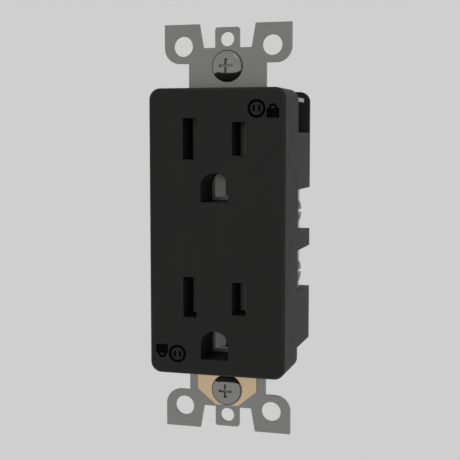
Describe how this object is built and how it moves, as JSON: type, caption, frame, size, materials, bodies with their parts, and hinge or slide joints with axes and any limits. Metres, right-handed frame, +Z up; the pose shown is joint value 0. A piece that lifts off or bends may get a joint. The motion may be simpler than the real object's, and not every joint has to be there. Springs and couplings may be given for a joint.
{
  "type": "duplex wall outlet",
  "caption": "Flush duplex wall outlet with a flat rectangular face, slots behind safety shutters, side terminals and a steel mounting strap.",
  "frame": {"origin": "midway between the two device mounting screws, on the rear face of the strap", "axes": "+X right and +Z up seen from the front, +Y back into the wall box"},
  "size_m": [0.035, 0.0295, 0.1046],
  "materials": {
    "black_nylon": "fine moulded matte",
    "black_housing": "moulded matte",
    "strap_steel": "satin zinc plate",
    "clip_metal": "satin rolled",
    "brass": "rolled",
    "contact_tin": "dull tin plate over brass",
    "zinc_steel": "bright zinc plate",
    "screw_nickel": "polished plate",
    "terminal_nickel": "dark plate",
    "green_screw": "green dye over plate",
    "fibre": "pressed fibre",
    "shutter_plastic": "moulded satin",
    "spring_steel": "drawn wire"
  },
  "bodies": {
    "receptacle": {"front_cover": "black_nylon", "rear_housing": "black_housing", "mounting_strap": "strap_steel", "grounding_clip": "clip_metal", "upper_ground_contact": "contact_tin", "lower_ground_contact": "contact_tin", "ground_contact_rivets": "zinc_steel", "hot_contact_bar": "brass", "neutral_contact_bar": "brass", "ground_terminal_bracket": "zinc_steel", "ground_bracket_rivet": "zinc_steel", "upper_shutter_carrier": "shutter_plastic", "lower_shutter_carrier": "shutter_plastic", "upper_shutter_spring": "spring_steel", "lower_shutter_spring": "spring_steel", "assembly_screws": "zinc_steel"},
    "hot_upper_clamp": {"hot_upper_clamp_plate": "zinc_steel"},
    "hot_upper_screw": {"hot_upper_terminal_screw": "terminal_nickel"},
    "hot_lower_clamp": {"hot_lower_clamp_plate": "zinc_steel"},
    "hot_lower_screw": {"hot_lower_terminal_screw": "terminal_nickel"},
    "neutral_upper_clamp": {"neutral_upper_clamp_plate": "zinc_steel"},
    "neutral_upper_screw": {"neutral_upper_terminal_screw": "terminal_nickel"},
    "neutral_lower_clamp": {"neutral_lower_clamp_plate": "zinc_steel"},
    "neutral_lower_screw": {"neutral_lower_terminal_screw": "terminal_nickel"},
    "ground_washer": {"ground_wire_washer": "zinc_steel"},
    "ground_screw": {"ground_terminal_screw": "green_screw"},
    "upper_retainer": {"upper_screw_retainer": "fibre"},
    "upper_screw": {"upper_mounting_screw": "screw_nickel"},
    "lower_retainer": {"lower_screw_retainer": "fibre"},
    "lower_screw": {"lower_mounting_screw": "screw_nickel"},
    "upper_shutter": {"upper_shutter": "shutter_plastic"},
    "lower_shutter": {"lower_shutter": "shutter_plastic"}
  },
  "joints": [
    {"name": "hot_upper_clamp_slide", "type": "slide", "parent": "receptacle", "child": "hot_upper_clamp", "axis": [1, 0, 0], "range_m": [0, 0.00238]},
    {"name": "hot_upper_screw_turn", "type": "hinge", "parent": "hot_upper_clamp", "child": "hot_upper_screw", "pos_m": [0.016, 0.00665, 0.00485], "axis": [1, 0, 0], "range_deg": [0, 1080]},
    {"name": "hot_lower_clamp_slide", "type": "slide", "parent": "receptacle", "child": "hot_lower_clamp", "axis": [1, 0, 0], "range_m": [0, 0.00238]},
    {"name": "hot_lower_screw_turn", "type": "hinge", "parent": "hot_lower_clamp", "child": "hot_lower_screw", "pos_m": [0.016, 0.00665, -0.0108], "axis": [1, 0, 0], "range_deg": [0, 1080]},
    {"name": "neutral_upper_clamp_slide", "type": "slide", "parent": "receptacle", "child": "neutral_upper_clamp", "axis": [-1, 0, 0], "range_m": [0, 0.00238]},
    {"name": "neutral_upper_screw_turn", "type": "hinge", "parent": "neutral_upper_clamp", "child": "neutral_upper_screw", "pos_m": [-0.016, 0.00665, 0.00485], "axis": [-1, 0, 0], "range_deg": [0, 1080]},
    {"name": "neutral_lower_clamp_slide", "type": "slide", "parent": "receptacle", "child": "neutral_lower_clamp", "axis": [-1, 0, 0], "range_m": [0, 0.00238]},
    {"name": "neutral_lower_screw_turn", "type": "hinge", "parent": "neutral_lower_clamp", "child": "neutral_lower_screw", "pos_m": [-0.016, 0.00665, -0.0108], "axis": [-1, 0, 0], "range_deg": [0, 1080]},
    {"name": "ground_washer_slide", "type": "slide", "parent": "receptacle", "child": "ground_washer", "axis": [1, 0, 0], "range_m": [0, 0.00238]},
    {"name": "ground_screw_turn", "type": "hinge", "parent": "ground_washer", "child": "ground_screw", "pos_m": [0.0131, 0.0074, 0.0294], "axis": [1, 0, 0], "range_deg": [0, 1080]},
    {"name": "upper_screw_slide", "type": "slide", "parent": "receptacle", "child": "upper_retainer", "axis": [0, -1, 0], "range_m": [0, 0.0025]},
    {"name": "upper_screw_spin", "type": "hinge", "parent": "upper_retainer", "child": "upper_screw", "pos_m": [0, 0, 0.04167], "axis": [0, -1, 0], "continuous": true},
    {"name": "lower_screw_slide", "type": "slide", "parent": "receptacle", "child": "lower_retainer", "axis": [0, -1, 0], "range_m": [0, 0.0025]},
    {"name": "lower_screw_spin", "type": "hinge", "parent": "lower_retainer", "child": "lower_screw", "pos_m": [0, 0, -0.04167], "axis": [0, -1, 0], "continuous": true},
    {"name": "upper_shutter_slide", "type": "slide", "parent": "receptacle", "child": "upper_shutter", "axis": [1, 0, 0], "range_m": [0, 0.0036], "stiffness_N_per_m": 250, "springref_m": -0.002, "deforming": ["upper_shutter_spring"]},
    {"name": "lower_shutter_slide", "type": "slide", "parent": "receptacle", "child": "lower_shutter", "axis": [1, 0, 0], "range_m": [0, 0.0036], "stiffness_N_per_m": 250, "springref_m": -0.002, "deforming": ["lower_shutter_spring"]}
  ],
  "couplings": [
    {"joint": "hot_upper_screw_turn", "follows": "hot_upper_clamp_slide", "rad_per_m": 7913.3},
    {"joint": "hot_lower_screw_turn", "follows": "hot_lower_clamp_slide", "rad_per_m": 7913.3},
    {"joint": "neutral_upper_screw_turn", "follows": "neutral_upper_clamp_slide", "rad_per_m": 7913.3},
    {"joint": "neutral_lower_screw_turn", "follows": "neutral_lower_clamp_slide", "rad_per_m": 7913.3},
    {"joint": "ground_screw_turn", "follows": "ground_washer_slide", "rad_per_m": 7913.3}
  ]
}
